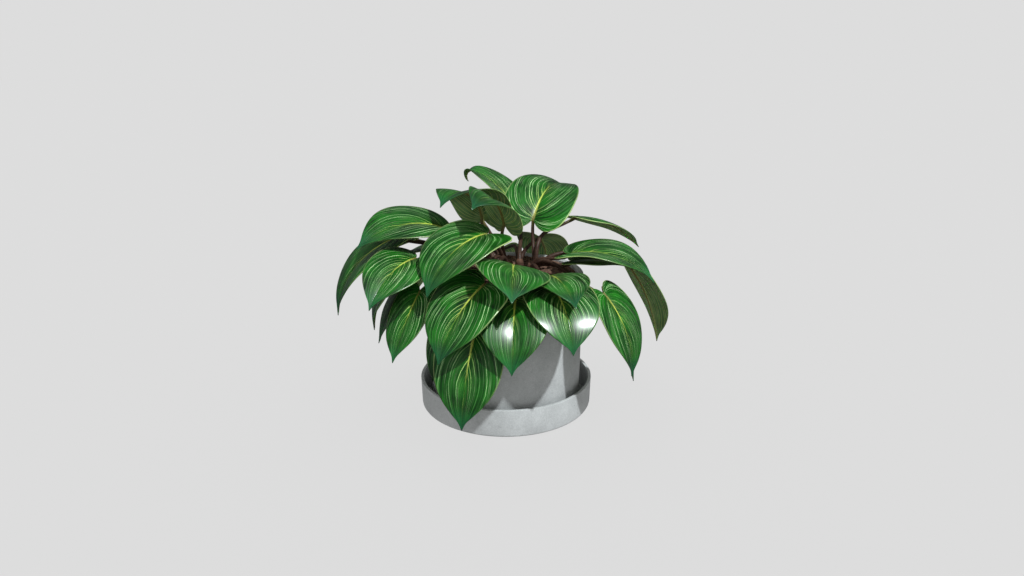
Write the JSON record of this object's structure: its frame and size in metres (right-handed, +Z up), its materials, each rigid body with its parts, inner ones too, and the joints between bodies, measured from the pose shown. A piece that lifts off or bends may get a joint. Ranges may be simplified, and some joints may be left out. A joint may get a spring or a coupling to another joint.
{
  "type": "potted birkin philodendron",
  "caption": "Potted houseplant: heart shaped, cream striped leaves on arching petioles in a straight sided concrete pot that stands in a matching saucer.",
  "frame": {"origin": "centre of the saucer's underside, where the part rests", "axes": "+Z up along the pot's axis, -Y towards the side that the picture shows"},
  "size_m": [0.3904, 0.3246, 0.2674],
  "materials": {
    "concrete": "cast concrete, fine mottling and pits",
    "soil": "moist potting mix of bark and peat",
    "petiole": "smooth maroon brown skin, satin",
    "leaf": "glossy waxy green with thin cream stripes"
  },
  "bodies": {
    "root": {"saucer": "concrete", "pot": "concrete", "soil": "soil", "stem_back_left": "petiole", "stem_back_right": "petiole", "stem_front_left": "petiole", "stem_front_right": "petiole", "stem_left": "petiole", "stem_right": "petiole", "leaf_back_1": "leaf", "leaf_back_2": "leaf", "leaf_back_3": "leaf", "leaf_back_4": "leaf", "leaf_back_5": "leaf", "leaf_back_6": "leaf", "leaf_front_1": "leaf", "leaf_front_2": "leaf", "leaf_front_3": "leaf", "leaf_front_4": "leaf", "leaf_front_5": "leaf", "leaf_left_1": "leaf", "leaf_left_2": "leaf", "leaf_left_3": "leaf", "leaf_left_4": "leaf", "leaf_left_5": "leaf", "leaf_left_6": "leaf", "leaf_low_1": "leaf", "leaf_low_2": "leaf", "leaf_low_3": "leaf", "leaf_low_4": "leaf", "leaf_right_1": "leaf", "leaf_right_2": "leaf", "leaf_right_3": "leaf", "leaf_right_4": "leaf", "leaf_right_5": "leaf", "leaf_top_1": "leaf", "leaf_top_2": "leaf", "leaf_top_3": "leaf", "leaf_top_4": "leaf", "leaf_top_5": "leaf"}
  },
  "joints": []
}
